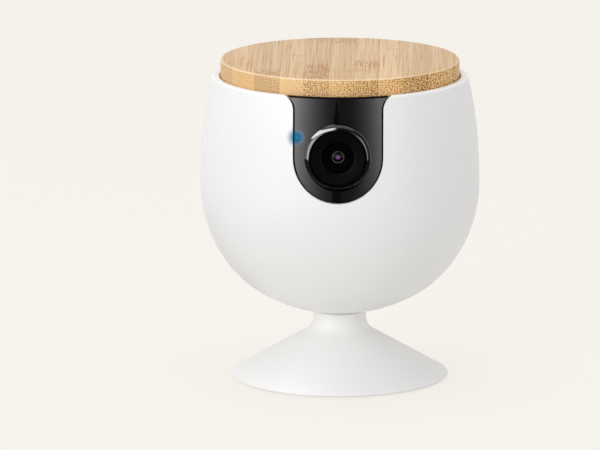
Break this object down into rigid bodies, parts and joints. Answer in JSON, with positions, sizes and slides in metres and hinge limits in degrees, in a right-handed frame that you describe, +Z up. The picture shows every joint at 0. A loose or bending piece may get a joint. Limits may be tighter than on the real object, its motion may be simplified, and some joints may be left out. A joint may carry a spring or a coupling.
{
  "type": "pet camera",
  "caption": "Small rotating pet camera: a bowl-shaped white head with a bamboo lid and a glossy lens panel, on a low conical base.",
  "frame": {"origin": "centre of the base's underside, on the pan axis", "axes": "+Z up along the pan axis, -Y out of the lens, +X to the viewer's right when facing the lens"},
  "size_m": [0.098, 0.098, 0.1135],
  "materials": {
    "white_plastic": "satin",
    "bamboo": "satin",
    "black_panel": "gloss",
    "black_trim": "gloss",
    "black_matt": "matt",
    "barrel_black": "anodised",
    "lens_glass": "coated",
    "light_pipe": "clear, lit blue",
    "grey_plastic": "moulded",
    "board_green": "solder mask",
    "chip_black": "moulded",
    "led_clear": "clear",
    "tinned_steel": "plated",
    "gear_plastic": "acetal",
    "pinion_brass": "machined",
    "black_rubber": "matt",
    "paper_black": "matt",
    "socket_white": "moulded"
  },
  "bodies": {
    "base": {"base_cover": "white_plastic", "base_plate": "white_plastic", "foot_ring": "black_rubber", "pivot_post": "grey_plastic", "thrust_washer": "gear_plastic", "fixed_gear": "gear_plastic", "retaining_clip": "tinned_steel", "power_board": "board_green", "usb_socket": "tinned_steel", "usb_tongue": "chip_black", "reset_switch": "chip_black", "power_lead": "black_rubber", "lead_socket": "socket_white", "base_screws": "tinned_steel"},
    "head": {"head_shell": "white_plastic", "bamboo_lid": "bamboo", "lid_carrier": "black_matt", "lens_panel": "black_panel", "lens_bezel": "black_trim", "lens_hood": "black_matt", "lens_barrel": "barrel_black", "front_lens": "lens_glass", "lens_holder": "black_matt", "sensor_board": "board_green", "image_sensor": "chip_black", "infrared_board": "board_green", "infrared_leds": "led_clear", "light_sensor": "led_clear", "status_light_pipe": "light_pipe", "status_light_board": "board_green", "inner_frame": "grey_plastic", "main_board": "board_green", "processor_shield": "tinned_steel", "wifi_antenna": "board_green", "board_socket": "socket_white", "microphone": "tinned_steel", "speaker_frame": "tinned_steel", "speaker_cone": "paper_black", "pan_bush": "gear_plastic", "pan_motor": "tinned_steel"},
    "pinion": {"motor_shaft": "tinned_steel", "drive_pinion": "pinion_brass"},
    "button": {"reset_button": "grey_plastic"}
  },
  "joints": [
    {"name": "head_pan", "type": "hinge", "parent": "base", "child": "head", "pos_m": [0, 0, 0], "axis": [0, 0, 1], "range_deg": [-171, 171]},
    {"name": "pinion_spin", "type": "hinge", "parent": "head", "child": "pinion", "pos_m": [0, 0.0224, 0], "axis": [0, 0, 1], "range_deg": [-514, 514]},
    {"name": "reset_press", "type": "slide", "parent": "base", "child": "button", "axis": [0, -1, 0], "range_m": [0, 0.0004], "stiffness_N_per_m": 2000, "springref_m": -0.0002}
  ],
  "couplings": [
    {"joint": "pinion_spin", "follows": "head_pan", "ratio": 3}
  ]
}
